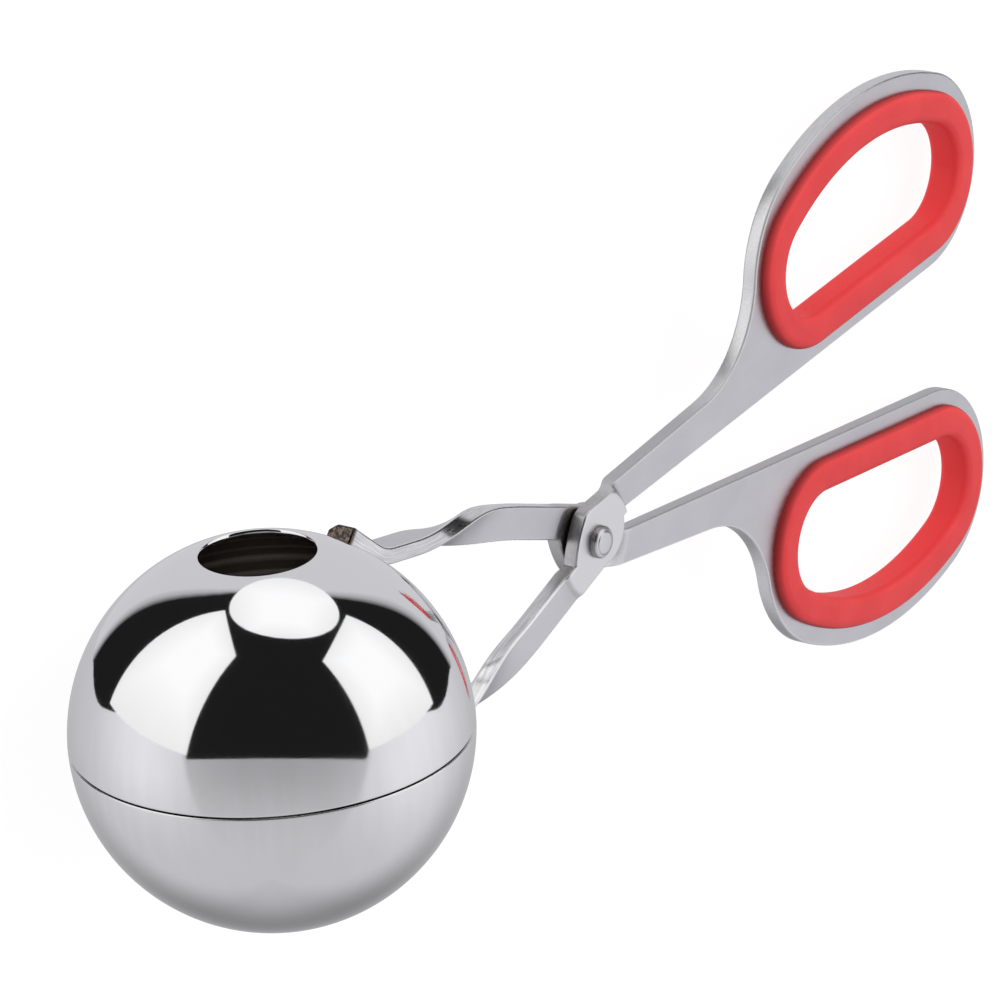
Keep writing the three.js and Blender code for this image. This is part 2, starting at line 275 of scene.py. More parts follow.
def closed_up(mesh):
    """Merges what meets and turns every face outwards."""
    shape = bmesh.new()
    shape.from_mesh(mesh)
    bmesh.ops.remove_doubles(shape, verts=shape.verts, dist=1e-7)
    bmesh.ops.recalc_face_normals(shape, faces=shape.faces)
    for face in shape.faces:
        face.smooth = True
    shape.to_mesh(mesh)
    shape.free()


def new_piece(name, mesh):
    """A new object at the origin, in the scene."""
    piece = bpy.data.objects.new(name, mesh)
    bpy.context.scene.collection.objects.link(piece)
    return piece


for cup_name, jaw, cup_place in (
    ("lower_cup", "lower_jaw", lower_place),
    ("upper_cup", "upper_jaw", upper_place),
):
    cup = new_piece("mirror_" + cup_name, bpy.data.meshes.new("spun_shell"))
    cup.data = shaped(cup, spun_cup, cup_sizes)
    closed_up(cup.data)
    if sum(face.normal.dot(face.center) for face in cup.data.polygons) < 0:
        cup.data.flip_normals()
    wall = cup.modifiers.new("wall", "SOLIDIFY")
    wall.thickness = cup_wall
    wall.offset = -1
    rim = cup.modifiers.new("rim", "BEVEL")
    rim.width = cup_rim_round
    rim.segments = 3
    rim.limit_method = "ANGLE"
    rim.angle_limit = math.radians(50)
    cup.data = baked(cup)
    cup.data.transform(cup_place)
    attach(cup, jaw)
    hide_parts(cup_name)


# The two levers: each is one blank stamped from stainless sheet, about 2.2 mm thick. The strap is
# twisted a quarter turn and welded flat to its cup, the pivot end is pressed sideways so that the
# two blanks lap, and the handle has a hole for the finger ring. The edges are tumbled round.
sheet_t = 2.2 * mm
edge_round = 0.32 * mm
strap_w = 4.57 * mm
strap_out = 4.29 * mm
strap_angle = 20.8
neck_angle = 5.8
neck_low = 0.8 * mm
neck_top = 5.2 * mm
neck_start = 6.9 * mm
lap_lift, strap_lift = 1.25 * mm, 0.9 * mm
# where the lap's step starts and ends, from the pivot, on the upper and on the lower face
strap_step, strap_step_below = (7.2 * mm, 8.2 * mm), (5.7 * mm, 7.3 * mm)
neck_step, neck_step_below = (6.9 * mm, 8.0 * mm), (6.2 * mm, 9.2 * mm)
bore_r = 1.8 * mm
knee_reach = 25.3 * mm
knee_round = 10.5 * mm
twist_start, twist_length = 19.5 * mm, 21.5 * mm
ring_near = np.array((56.7, 15.0)) * mm
ring_far = np.array((87.3, 15.1)) * mm
ring_near_r, ring_far_r, ring_outer_r = 9.7 * mm, 9.8 * mm, 42.4 * mm
ring_inset = 4.8 * mm
bead_w = 5.4 * mm
plate_bite = 1.7 * mm


def polar(centre, radius, degrees):
    """The point at a radius from a centre, in a heading."""
    turn = np.radians(degrees)
    return np.asarray(centre) + radius * np.array((np.cos(turn), np.sin(turn)))


def heading(start, end):
    """The way from a start to an end, in degrees from X."""
    return math.degrees(math.atan2(end[1] - start[1], end[0] - start[0]))


def turned(points, degrees):
    """Points turned about the pivot."""
    c, s = math.cos(math.radians(degrees)), math.sin(math.radians(degrees))
    return np.asarray(points) @ np.array(((c, s), (-s, c)))


def line(start, end, gap):
    """Points from a start to an end, about a gap apart."""
    steps = max(1, round(math.dist(start, end) / gap))
    return np.linspace(start, end, steps + 1)


def curve(start, pull, end, steps):
    """A bend from a start to an end, drawn towards a third point."""
    start, pull, end = (np.asarray(point) for point in (start, pull, end))
    t = np.linspace(0, 1, steps + 1)[:, None]
    return (1 - t) ** 2 * start + 2 * t * (1 - t) * pull + t**2 * end


def arc(centre, radius, start, end, steps):
    """Points on an arc, from a start to an end in degrees."""
    return np.array([polar(centre, radius, a) for a in np.linspace(start, end, steps + 1)])


def arc_by(start, middle, end, steps):
    """The arc through three points."""
    (ax, ay), (bx, by), (cx, cy) = start, middle, end
    a, b, c = ax * ax + ay * ay, bx * bx + by * by, cx * cx + cy * cy
    twice = 2 * (ax * (by - cy) + bx * (cy - ay) + cx * (ay - by))
    centre_x = (a * (by - cy) + b * (cy - ay) + c * (ay - by)) / twice
    centre_y = (a * (cx - bx) + b * (ax - cx) + c * (bx - ax)) / twice
    centre = np.array((centre_x, centre_y))
    first, last = heading(centre, start), heading(centre, end)
    if last < first:
        last += 360
    return arc(centre, math.dist(centre, start), first, last, steps)


def joined(*runs, closed=False):
    """One path of several runs, each of which starts where the one before it ends."""
    path = np.vstack([run[:-1] for run in runs] + [runs[-1][-1:]])
    return path[:-1] if closed else path


def meeting(a, a_way, b, b_way):
    """Where two lines, each a point and a heading in degrees, cross."""
    u, v = polar((0, 0), 1, a_way), polar((0, 0), 1, b_way)
    t = np.linalg.solve(np.column_stack((u, -v)), np.asarray(b) - np.asarray(a))[0]
    return np.asarray(a) + u * t


# the D of the finger ring, from the pivot along the handle's straight inner edge
ring_gap = math.dist(ring_near, ring_far)
near_reach, far_reach = ring_outer_r - ring_near_r, ring_outer_r - ring_far_r
ring_along = (ring_gap**2 + near_reach**2 - far_reach**2) / (2 * ring_gap)
ring_heading = heading(ring_near, ring_far)
ring_middle = polar(ring_near, ring_along, ring_heading)
ring_middle = polar(ring_middle, math.sqrt(near_reach**2 - ring_along**2), ring_heading - 90)
near_way, far_way = heading(ring_middle, ring_near), heading(ring_middle, ring_far)


def finger_loop(offset):
    """The D moved outwards by an offset, counterclockwise from the far end of its straight side."""
    near_foot = ring_near - (0, ring_near_r + offset)
    far_foot = ring_far - (0, ring_far_r + offset)
    return joined(
        arc(ring_far, ring_far_r + offset, -90, far_way, 40),
        arc(ring_middle, ring_outer_r + offset, far_way, near_way, 60),
        arc(ring_near, ring_near_r + offset, near_way, 270, 40),
        line(near_foot, far_foot, 0.8 * mm),
        closed=True,
    )


# the handle's outline in the same place
end_r, shoulder_r, fillet_r = 14.5 * mm, 17.5 * mm, 15.8 * mm
neck_taper = 2.1
shoulder_way = 112.8
plate_r = ring_outer_r + ring_inset
end_up = neck_low + end_r
end_along = math.sqrt((plate_r - end_r) ** 2 - (end_up - ring_middle[1]) ** 2)
end_centre = np.array((ring_middle[0] + end_along, end_up))
end_way = heading(ring_middle, end_centre)
shoulder = polar(ring_middle, plate_r - shoulder_r, shoulder_way)
to_shoulder = turned(shoulder - (0, neck_top), -neck_taper)
fillet_back = math.sqrt((shoulder_r + fillet_r) ** 2 - (to_shoulder[1] - fillet_r) ** 2)
fillet = turned((to_shoulder[0] - fillet_back, fillet_r), neck_taper) + (0, neck_top)
fillet_way = heading(fillet, shoulder)
neck_foot = polar(fillet, fillet_r, neck_taper - 90)
disc_corner = polar((0, neck_top), 0.9 * mm, neck_taper)
handle_edge = joined(
    line((neck_start, neck_low), (end_centre[0], neck_low), 0.9 * mm),
    arc(end_centre, end_r, -90, end_way, 70),
    arc(ring_middle, plate_r, end_way, shoulder_way, 90),
    arc(shoulder, shoulder_r, shoulder_way, fillet_way + 180, 40),
    arc(fillet, fillet_r, fillet_way, neck_taper - 90, 40),
    line(neck_foot, disc_corner, 0.6 * mm),
)
handle_edge = turned(handle_edge, neck_angle)

# the strap's middle line, from beside the pivot over the knee and the bend to the cup
weld_gap = 0.03 * mm
tab_r = ball_r + sheet_t / 2 + weld_gap
tab_end, tab_start = 39.5, 43.4
tab_lead, bend_round = 5.6 * mm, 2.2 * mm
cup_middle = np.array((-pivot_x, cup_short))
strap_mid = strap_out - strap_w / 2
foot = polar((0, 0), strap_mid, strap_angle - 90)
knee = polar(foot, knee_reach, strap_angle + 180)
tab_foot = polar(cup_middle, tab_r, tab_start - 90)
bend = polar(tab_foot, tab_lead, tab_start)
slope = heading(bend, knee)
knee_start, knee_end = polar(knee, knee_round, strap_angle), polar(knee, -knee_round, slope)
bend_start, bend_end = polar(bend, bend_round, slope), polar(bend, -bend_round, tab_start)
strap_line = joined(
    line(foot, knee_start, 0.3 * mm),
    curve(knee_start, knee, knee_end, 30),
    line(knee_end, bend_start, 0.3 * mm),
    curve(bend_start, bend, bend_end, 24),
    line(bend_end, tab_foot, 0.3 * mm),
    arc(cup_middle, tab_r, tab_start - 90, tab_end - 90, 20),
)
strap_far = np.concatenate(((0,), np.cumsum(np.linalg.norm(np.diff(strap_line, axis=0), axis=1))))
strap_length = strap_far[-1]

# the whole blank: strap, pivot disc and handle, counterclockwise from the strap's end
tab_corner = 0.45 * mm
strap_way = polar((0, 0), 1, strap_angle)
outer_way = polar((0, 0), 1, strap_angle - 90)
strap_outer = outer_way * strap_out
strap_inner = outer_way * (strap_out - strap_w)
outer_end = strap_outer - strap_way * (strap_length - tab_corner)
inner_end = strap_inner - strap_way * (strap_length - tab_corner)
outer_corner = outer_end - outer_way * tab_corner
inner_corner = inner_end + outer_way * tab_corner
hip = strap_outer + strap_way * 0.2 * mm
disc_side = np.array((5.05, -2.35)) * mm
notch = turned((6.35 * mm, neck_low), neck_angle)
disc_round = arc_by(hip, disc_side, notch - (0, 0.25 * mm), 26)
disc_left = arc_by((-2.7 * mm, 4.2 * mm), (-4.4 * mm, 1.4 * mm), (-5.35 * mm, -1.6 * mm), 20)
disc_left_way = heading(disc_left[0], disc_left[1])
brow = meeting(handle_edge[-1], neck_angle + neck_taper + 180, disc_left[0], disc_left_way)
crotch = meeting(disc_left[-1], heading(disc_left[-2], disc_left[-1]), strap_inner, strap_angle)
crotch_end = strap_inner - strap_way * 8.2 * mm
blank = joined(
    line(outer_end, hip, 0.4 * mm),
    disc_round,
    curve(disc_round[-1], notch, handle_edge[0], 6),
    handle_edge,
    curve(handle_edge[-1], brow, disc_left[0], 14),
    disc_left,
    curve(disc_left[-1], crotch, crotch_end, 12),
    line(crotch_end, inner_end, 0.4 * mm),
    arc(inner_corner, tab_corner, strap_angle + 90, strap_angle + 180, 8),
    line(inner_corner - strap_way * tab_corner, outer_corner - strap_way * tab_corner, 0.4 * mm),
    arc(outer_corner, tab_corner, strap_angle + 180, strap_angle + 270, 8),
    closed=True,
)
ring_hole = turned(finger_loop(bead_w / 2 - plate_bite), neck_angle)[::-1]
bore = arc((0, 0), bore_r, 360, 0, 40)[:-1]


def inset(loop, depth):
    """A loop moved towards the steel, which lies on its left."""
    ahead = np.roll(loop, -1, 0) - loop
    ahead /= np.linalg.norm(ahead, axis=1)[:, None]
    way = ahead + np.roll(ahead, 1, 0)
    way /= np.linalg.norm(way, axis=1)[:, None]
    bite = np.maximum((way * ahead).sum(1), 0.5)
    return loop + np.column_stack((-way[:, 1], way[:, 0])) * (depth / bite)[:, None]


def within(loop, point):
    """Whether a point lies inside a loop."""
    x, y = loop[:, 0] - point[0], loop[:, 1] - point[1]
    next_x, next_y = np.roll(x, -1), np.roll(y, -1)
    cross = (y > 0) != (next_y > 0)
    return np.sum(x[cross] - y[cross] * (next_x - x)[cross] / (next_y - y)[cross] > 0) % 2 == 1


def smooth_step(value, low, high):
    """A value's share of the way from low to high, eased at both ends."""
    t = np.clip((value - low) / (high - low), 0, 1)
    return t * t * (3 - 2 * t)


# the rounded edge, row by row from the lower face to the upper one
edge_rows = [
    (edge_round * (1 - math.cos(t)), sheet_t / 2 - edge_round * (1 - math.sin(t)))
    for t in np.radians(np.linspace(0, 90, 6))
]
edge_rows.append((edge_round + 0.08 * mm, sheet_t / 2))
edge_rows = [(depth, -up) for depth, up in reversed(edge_rows)] + edge_rows
lever_points, lever_faces, sheared, face_loops = [], [], [], []
for loop in (blank, ring_hole, bore):
    count = len(loop)
    first = len(lever_points)
    for depth, up in edge_rows:
        lever_points += [(x, y, up) for x, y in inset(loop, depth)]
        sheared += [max(0, 1 - depth / edge_round)] * count
    for row in range(len(edge_rows) - 1):
        here = first + row * count
        for i in range(count):
            j = (i + 1) % count
            lever_faces.append((here + i, here + j, here + count + j, here + count + i))
    face_loops.append((first, first + (len(edge_rows) - 1) * count, count))

# points inside the two faces, where the sheet is bent: along the strap and on the lap's step
inner_points = []
strap_half = strap_w / 2 - edge_round - 0.3 * mm
for distance in np.arange(10 * mm, strap_length - edge_round - 0.7 * mm, 0.45 * mm):
    for offset in np.linspace(-strap_half, strap_half, 8):
        inner_points.append(polar(foot - strap_way * distance, offset, strap_angle - 90))
neck_half = (neck_top - neck_low) / 2 - edge_round - 0.25 * mm
for middle, half_width, way, radii in (
    ((neck_top + neck_low) / 2, neck_half, neck_angle, neck_step + neck_step_below),
    (strap_mid, strap_half, strap_angle + 180, strap_step + strap_step_below),
):
    for radius in np.linspace(min(radii) - 0.15 * mm, max(radii) + 0.15 * mm, 24):
        for offset in np.linspace(middle - half_width, middle + half_width, 12):
            inner_points.append(turned((math.sqrt(radius**2 - offset**2), offset), way))

# the two faces between the rounded edges
rim_points, rim_edges, low_of, high_of = [], [], [], []
for low, high, count in face_loops:
    first = len(rim_points)
    rim_points += [lever_points[low + i][:2] for i in range(count)]
    rim_edges += [(first + i, first + (i + 1) % count) for i in range(count)]
    low_of += range(low, low + count)
    high_of += range(high, high + count)
for x, y in inner_points:
    low_of.append(len(lever_points))
    high_of.append(len(lever_points) + 1)
    lever_points += [(x, y, -sheet_t / 2), (x, y, sheet_t / 2)]
    sheared += [0, 0]
flat_points = [Vector(point) for point in rim_points + inner_points]
found, _, flat_faces, sources, _, _ = delaunay_2d_cdt(flat_points, rim_edges, [], 1, 1e-9)
for face in flat_faces:
    middle = sum((found[i] for i in face), Vector((0, 0))) / len(face)
    if within(ring_hole, middle) or within(bore, middle) or not within(blank, middle):
        continue
    corners = [sources[i][0] for i in face]
    lever_faces.append([high_of[i] for i in corners])
    lever_faces.append([low_of[i] for i in reversed(corners)])

# where each point lies on the flat blank
formed = np.array(lever_points)
sheared = np.array(sheared)
blank_xy, blank_z = formed[:, :2].copy(), formed[:, 2].copy()
far, aside = -(blank_xy @ strap_way), -(blank_xy @ outer_way)
on_blank = np.column_stack((far, aside, blank_z))
from_pivot = np.hypot(blank_xy[:, 0], blank_xy[:, 1])
in_sheet = np.clip(0.5 - blank_z / sheet_t, 0, 1)
strap_end = far > 0
handle_x, handle_y = turned(blank_xy, -neck_angle).T


def off_step(above, below):
    """How far each point lies past a step that starts and ends at other radii on the lower face."""
    start, end = (a + (b - a) * in_sheet for a, b in zip(above, below))
    return smooth_step(from_pivot, start, end)


# the press: the lap's step lifts the disc, and the strap comes back to the ball's middle
off_strap, off_neck = off_step(strap_step, strap_step_below), off_step(neck_step, neck_step_below)
off_lap = np.where(strap_end, off_strap, off_neck)
strap_up = np.where(strap_end, strap_lift * (1 - smooth_step(far, 16 * mm, 46.7 * mm)), 0)
lift = lap_lift + (strap_up - lap_lift) * off_lap

# what the shears and the tumbling left: the strap's edges are polished, the handle's are dull; far
# out on the outer side the handle's walls are smoother and painted lighter, as a painted highlight
burnished = sheared * smooth_step(far, 7 * mm, 14 * mm)
on_handle = smooth_step(handle_x, 2 * mm, 8 * mm)
outer_side = smooth_step(handle_y, 2.5 * mm, 4.5 * mm)
tumbled = 2 * sheared * np.sqrt(1 - sheared**2) * on_handle
tumbled *= 1 - outer_side * smooth_step(handle_x, 64 * mm, 82 * mm)
dull_walls_lit_side = 0.88 * on_handle * (1 - 0.85 * outer_side * smooth_step(handle_x, 22 * mm, 36 * mm))

# the weld's scorch at the strap's end, and painted shade round the joint: on the walls near the
# pivot, a painted shadow in the recess of the lap, and a darker line at the foot of the step
scorch_and_shade = smooth_step(far, strap_length - 0.9 * mm, strap_length - 0.25 * mm)
wall_shade_start, wall_shade_end = np.where(strap_end, 8.5 * mm, 5.6 * mm), np.where(strap_end, 11.5 * mm, 7.6 * mm)
# painted shade on the walls near the pivot
scorch_and_shade += 0.38 * sheared * (1 - smooth_step(from_pivot, wall_shade_start, wall_shade_end))
# a painted shadow on the lower face in the recess of the lap
in_recess = (blank_z < -0.4 * sheet_t) & strap_end
scorch_and_shade += 0.75 * (1 - sheared) * in_recess * (1 - smooth_step(from_pivot, 5.4 * mm, 6.8 * mm))
# a darker line along the foot of the step
step_foot = np.where(strap_end, strap_step[1], neck_step[1]) - 0.3 * mm
step_foot_darkening = np.exp(-(((from_pivot - step_foot) / (0.45 * mm)) ** 2)) * np.where(strap_end, 0.2, 0.4)
scorch_and_shade += step_foot_darkening * (1 - sheared) * (blank_z > 0)
lever_marks = {
    "scorch_and_shade": scorch_and_shade,
    "sheared": sheared,
    "pressed": 1 - off_lap,
    "burnished": burnished,
    "tumbled": tumbled,
    "dull_walls_lit_side": dull_walls_lit_side,
}


def on_strap(far):
    """Points on the strap's middle line, as far along it as given."""
    return np.column_stack([np.interp(far, strap_far, strap_line[:, k]) for k in (0, 1)])


# the strap's bends and its quarter turn; the tab is thinned towards one edge and drawn in at the other
bent = far > 12 * mm
bent_far, side, up = far[bent], aside[bent] + strap_mid, blank_z[bent]
on_tab = smooth_step(bent_far, strap_length - 7 * mm, strap_length - 1 * mm)
up -= 0.4 * on_tab * (up + sheet_t / 2) * smooth_step(side, strap_w / 5, strap_w / 2)
side *= 1 - 0.3 * (side < 0) * on_tab
ahead = on_strap(bent_far - 0.2 * mm) - on_strap(bent_far + 0.2 * mm)
ahead /= np.linalg.norm(ahead, axis=1)[:, None]
left = np.column_stack((-ahead[:, 1], ahead[:, 0]))
turn = smooth_step(bent_far, twist_start, twist_start + twist_length) * math.pi / 2
leftwards = side * np.cos(turn) - up * np.sin(turn)
formed[bent, :2] = on_strap(bent_far) + left * leftwards[:, None]
formed[bent, 2] = side * np.sin(turn) + up * np.cos(turn)
formed[:, 2] += lift
formed[:, 0] += pivot_x


def carried(tree, name, output="Fac"):
    """A value that the points of the piece carry."""
    node = tree.nodes.new("ShaderNodeAttribute")
    node.attribute_name = name
    return node.outputs[output]


satin_steel, tree, shader, place = new_finish("satin_stamped_steel")
shader.inputs["Metallic"].default_value = 1.0
tilt = math.atan2(tool_way.z, tool_way.x)
shear, burnish = carried(tree, "sheared"), carried(tree, "burnished")
grain = noise(tree, place, (700, 5200, 5200), 3.0, turn=tilt)
cloud = noise(tree, place, (90, 140, 140), 4.0, turn=tilt)
streaks = noise(tree, carried(tree, "on_blank", "Vector"), (230, 5600, 5600), 3.0, 0.6)
specks = noise(tree, place, 1900.0, 3.0, 0.6)
tone = mixed(
    tree, spread(tree, cloud, 0.35, 0.65, 0, 1), (0.66, 0.657, 0.69, 1), (0.71, 0.707, 0.735, 1)
)
# the pressed lap is painted lighter than the rest of the face, and the rivet half as much
tone = mixed(tree, carried(tree, "pressed"), tone, (0.84, 0.84, 0.855, 1))
cut_edge = mixed(
    tree,
    spread(tree, streaks, 0.36, 0.66, 0, 1),
    mixed(tree, burnish, (0.77, 0.77, 0.78, 1), (0.62, 0.62, 0.635, 1)),
    (0.89, 0.89, 0.90, 1),
)
# the handle's walls are painted dull, except far out on the outer side, where they are painted lighter as
# a painted highlight
cut_edge = mixed(tree, carried(tree, "dull_walls_lit_side"), cut_edge, (0.54, 0.54, 0.56, 1))
tone = mixed(tree, spread(tree, shear, 0.62, 0.95, 0, 1), tone, cut_edge)
# a painted highlight: the rounded edges, between the face and the wall, are painted near white
edge_highlight = sum_of(
    tree, "SUBTRACT", spread(tree, shear, 0.0, 0.25, 0, 0.8), spread(tree, shear, 0.55, 0.9, 0, 0.8)
)
tone = mixed(tree, edge_highlight, tone, (0.97, 0.97, 0.98, 1))
# the weld's soot colour, which also paints the shade round the joint and on the rivet's heads
soot_and_shade_tone = mixed(
    tree, spread(tree, specks, 0.42, 0.66, 0, 1), (0.050, 0.040, 0.036, 1), (0.25, 0.195, 0.165, 1)
)
tone = mixed(tree, carried(tree, "scorch_and_shade"), tone, soot_and_shade_tone)
tree.links.new(tone, shader.inputs["Base Color"])
lever_rough = spread(tree, grain, 0.3, 0.7, 0.32, 0.42)
lever_rough = sum_of(tree, "MULTIPLY_ADD", burnish, -0.16, lever_rough)
lever_rough = sum_of(tree, "MULTIPLY_ADD", carried(tree, "tumbled"), 0.34, lever_rough)
tree.links.new(lever_rough, shader.inputs["Roughness"])
bumped(tree, shader, grain, 0.0008 * mm)


def mark(mesh, marks):
    """Gives the mesh's points named values, which the material reads."""
    for name, values in marks.items():
        mesh.attributes.new(name, "FLOAT", "POINT").data.foreach_set("value", values)


for lever_name, jaw, lever_place in (
    ("lower_cup_lever", "lower_jaw", lower_place),
    ("upper_cup_lever", "upper_jaw", upper_place),
):
    mesh = bpy.data.meshes.new("stamped_lever")
    mesh.from_pydata(formed.tolist(), [], lever_faces)
    mark(mesh, lever_marks)
    blank_places = mesh.attributes.new("on_blank", "FLOAT_VECTOR", "POINT")
    blank_places.data.foreach_set("vector", on_blank.ravel())
    closed_up(mesh)
    mesh.transform(lever_place)
    mesh.materials.append(satin_steel)
    lever = new_piece("stamped_" + lever_name, mesh)
    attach(lever, jaw)
    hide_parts(lever_name)


# The two finger rings: soft red rubber beads, moulded with a groove that snaps over the edge of
# the hole in the handle. Each follows the D of the hole, with a broad flat lip in front, a smaller
# one behind, and a rounder wall towards the fingers.
finger_side = 2.45 * mm
front_lip, back_lip = 2.55 * mm, 1.4 * mm
front_up, back_up = 2.7 * mm, 2.6 * mm
finger_round, lip_round = 1.3 * mm, 1.3 * mm

red_rubber, tree, shader, place = new_finish("satin_red_rubber")
shader.inputs["Specular IOR Level"].default_value = 0.2
mottle = noise(tree, place, 160.0, 4.0)
skin = noise(tree, place, 2200.0, 3.0)
outwards = carried(tree, "outwards")
# the outer wall of the front lip is painted dark, as painted shade
lip_wall_shade = spread(tree, outwards, front_lip - 0.8 * mm, front_lip - 0.05 * mm, 0, 1)
# the wall towards the fingers is painted a deeper red, as painted shade
finger_wall_shade = spread(tree, outwards, 0.5 * mm - finger_side, 0.05 * mm - finger_side, 0, 1)
red = mixed(
    tree, spread(tree, mottle, 0.3, 0.7, 0, 1), (0.77, 0.054, 0.058, 1), (0.84, 0.067, 0.070, 1)
)
red = mixed(tree, lip_wall_shade, red, (0.17, 0.010, 0.012, 1))
red = mixed(tree, finger_wall_shade, red, (0.70, 0.036, 0.039, 1))
tree.links.new(red, shader.inputs["Base Color"])
tree.links.new(spread(tree, skin, 0.3, 0.7, 0.46, 0.56), shader.inputs["Roughness"])
bumped(tree, shader, skin, 0.006 * mm)


def bead_sizes(upper, lower):
    """The sizes of a ring with the two lips given, each as its reach and its height."""
    return {
        "Finger Side": finger_side,
        "Upper Lip": upper[0],
        "Lower Lip": lower[0],
        "Upper Height": upper[1],
        "Lower Height": lower[1],
        "Finger Round": finger_round,
        "Lip Round": lip_round,
        "Rubber": red_rubber,
    }


in_front = (front_lip, front_up)
behind = (back_lip, back_up)
finger_bead, given = start_shape("finger_bead", bead_sizes(in_front, behind))
section = add_node(finger_bead, "GeometryNodeCurvePrimitiveQuadrilateral", mode="POINTS")
# along this path the section's X points outwards and its Y down
inner_x = sum_of(finger_bead, "MULTIPLY", given["Finger Side"], -1.0)
upper_y = sum_of(finger_bead, "MULTIPLY", given["Upper Height"], -1.0)
for number, x, y in (
    (1, inner_x, upper_y),
    (2, given["Upper Lip"], upper_y),
    (3, given["Lower Lip"], given["Lower Height"]),
    (4, inner_x, given["Lower Height"]),
):
    corner = add_node(finger_bead, "ShaderNodeCombineXYZ", x, y)
    finger_bead.links.new(corner.outputs[0], section.inputs["Point %d" % number])
spot = finger_bead.nodes.new("GeometryNodeInputPosition").outputs[0]
spot_x = add_node(finger_bead, "ShaderNodeSeparateXYZ", spot).outputs[0]
on_fingers = sum_of(finger_bead, "LESS_THAN", spot_x, 0.0)
rounds = sum_of(finger_bead, "SUBTRACT", given["Finger Round"], given["Lip Round"])
rounds = sum_of(finger_bead, "MULTIPLY_ADD", rounds, on_fingers, given["Lip Round"])
rounded = add_node(finger_bead, "GeometryNodeFilletCurve", mode="POLY")
rounded.inputs["Count"].default_value = 10
finger_bead.links.new(section.outputs[0], rounded.inputs["Curve"])
finger_bead.links.new(rounds, rounded.inputs["Radius"])
marked = add_node(finger_bead, "GeometryNodeStoreNamedAttribute", data_type="FLOAT")
marked.inputs["Name"].default_value = "outwards"
finger_bead.links.new(rounded.outputs[0], marked.inputs["Geometry"])
finger_bead.links.new(spot_x, marked.inputs["Value"])
bead = finger_bead.nodes.new("GeometryNodeCurveToMesh")
finger_bead.links.new(given["Geometry"], bead.inputs["Curve"])
finger_bead.links.new(marked.outputs[0], bead.inputs["Profile Curve"])
end_shape(finger_bead, bead.outputs[0], given["Rubber"])

for ring_name, jaw, ring_place, upper, lower in (
    ("upper_ring", "lower_jaw", lower_place, in_front, behind),
    ("lower_ring", "upper_jaw", upper_place, behind, in_front),
):
    path = bpy.data.curves.new("finger_loop", "CURVE")
    path.dimensions = "3D"
    path.twist_mode = "Z_UP"
    spline = path.splines.new("POLY")
    loop = turned(finger_loop(0), neck_angle) + (pivot_x, 0)
    spline.points.add(len(loop) - 1)
    for point, (x, y) in zip(spline.points, loop):
        point.co = (x, y, 0, 1)
    spline.use_cyclic_u = True
    drawn = new_piece("ring_path", path)
    mesh = shaped(drawn, finger_bead, bead_sizes(upper, lower))
    bpy.data.objects.remove(drawn)
    closed_up(mesh)
    mesh.transform(ring_place)
    ring = new_piece("red_" + ring_name, mesh)
    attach(ring, jaw)
    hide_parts(ring_name)


# The pivot rivet: a plain stainless pin through the bores of both levers, which turn on it. Each
# end is closed down into a flat head with a rounded side and a slightly crowned face. The heads'
# sides are painted dark, as painted shade, and the rivet is painted a little lighter, like the pressed
# lap.
shank_r, head_r = 1.7 * mm, 2.2 * mm
head_under, head_top = 2.37 * mm, 3.5 * mm
head_side = 0.6 * mm
crown, crown_r = 0.12 * mm, 1.75 * mm
profile = [(shank_r, 0.0), (shank_r, head_under), (head_r, head_under)]
for t in np.radians(np.linspace(0, 90, 7)):
    side_up = head_top - crown - head_side * (1 - math.sin(t))
    profile.append((head_r - head_side * (1 - math.cos(t)), side_up))
for r in (1.6 * mm, 1.3 * mm, 1.0 * mm, 0.7 * mm, 0.35 * mm, 0.0):
    profile.append((r, head_top - crown * (r / crown_r) ** 2))
profile = [(r, -z) for r, z in reversed(profile[1:])] + profile
turnings = bmesh.new()
stops = [turnings.verts.new((pivot_x + r, 0, z)) for r, z in profile]
bars = [turnings.edges.new(pair) for pair in zip(stops, stops[1:])]
bmesh.ops.spin(
    turnings,
    geom=stops + bars,
    cent=(pivot_x, 0, 0),
    axis=(0, 0, 1),
    dvec=(0, 0, 0),
    angle=2 * math.pi,
    steps=72,
)
mesh = bpy.data.meshes.new("rivet")
turnings.to_mesh(mesh)
turnings.free()
closed_up(mesh)
# the sides of the heads are painted dark, as painted shade
rivet_side_shade = []
for point in mesh.vertices:
    on_side = math.hypot(point.co.x - pivot_x, point.co.y) > 1.95 * mm
    rivet_side_shade.append(0.6 if on_side and abs(point.co.z) < head_top - 0.3 * mm else 0.0)
mark(mesh, {"scorch_and_shade": rivet_side_shade, "pressed": [0.5] * len(rivet_side_shade)})
mesh.transform(lower_place)
mesh.materials.append(satin_steel)
rivet = new_piece("headed_pivot_rivet", mesh)
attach(rivet, "lower_jaw")
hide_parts("pivot_rivet")


# The camera: it stands about 0.7 m off, beyond the ball and above the tool as it lies, and looks
# along the tool to the handles. The lens is long, so the far handle looks hardly smaller than the
# near one.
camera_place = lower_place @ (Vector((-506.60, 297.67, 414.77)) * mm)
camera_aim = lower_place @ (Vector((26.08, 24.42, 18.08)) * mm)
camera_up = lower_place.to_3x3() @ Vector((0.34290, 0.92288, -0.17526))
to_camera = (camera_place - camera_aim).normalized()
to_right = camera_up.cross(to_camera).normalized()
to_top = to_camera.cross(to_right)
camera = bpy.data.objects.new("photo_camera", bpy.data.cameras.new("long_lens"))
camera.data.lens = 209.03
camera.data.sensor_width = 36
camera.data.clip_start = 0.05
camera.data.shift_x, camera.data.shift_y = -0.0007, 0.0006
camera.matrix_world = standing(camera_place, to_right, to_top, to_camera)
bpy.context.scene.collection.objects.link(camera)
bpy.context.scene.camera = camera
bpy.context.scene.view_settings.view_transform = "Standard"


